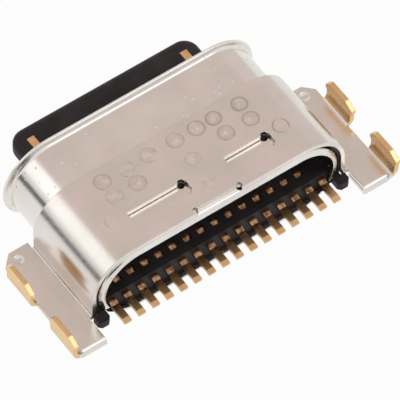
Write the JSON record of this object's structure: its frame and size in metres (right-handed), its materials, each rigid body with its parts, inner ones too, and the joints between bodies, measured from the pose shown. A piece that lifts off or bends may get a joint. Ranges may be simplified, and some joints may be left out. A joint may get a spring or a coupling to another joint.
{
  "type": "charging_port",
  "caption": "Mid-mount charging port for a phone board: drawn nickel shell with flange, welded bracket with gold solder legs, black tongue and gold contact tails.",
  "frame": {"origin": "on the mating axis, in the front face of the shell's flange", "axes": "+Y out of the mouth along the mating axis; +X to the right seen from behind, across the port; +Z the way the solder legs point, towards the board"},
  "size_m": [0.0116, 0.0072, 0.0032],
  "materials": {
    "shell_nickel": "drawn stainless sheet with a satin nickel plate",
    "bracket_nickel": "stamped stainless sheet, satin nickel plate, gold flash on the solder legs",
    "black_resin": "glass-filled liquid-crystal polymer, matt black",
    "plate_steel": "stamped stainless sheet",
    "contact_gold": "copper alloy strip, gold plated"
  },
  "bodies": {
    "root": {"inner_shell": "shell_nickel", "mounting_bracket": "bracket_nickel", "tongue": "black_resin", "upper_insulator": "black_resin", "lower_insulator": "black_resin", "mid_plate": "plate_steel", "upper_ground_plate": "plate_steel", "lower_ground_plate": "plate_steel", "contact_a1_ground": "contact_gold", "contact_a4_power": "contact_gold", "contact_a5_channel": "contact_gold", "contact_a6_data": "contact_gold", "contact_a7_data": "contact_gold", "contact_a8_sideband": "contact_gold", "contact_a9_power": "contact_gold", "contact_a12_ground": "contact_gold", "contact_b12_ground": "contact_gold", "contact_b9_power": "contact_gold", "contact_b8_sideband": "contact_gold", "contact_b7_data": "contact_gold", "contact_b6_data": "contact_gold", "contact_b5_channel": "contact_gold", "contact_b4_power": "contact_gold", "contact_b1_ground": "contact_gold"}
  },
  "joints": []
}
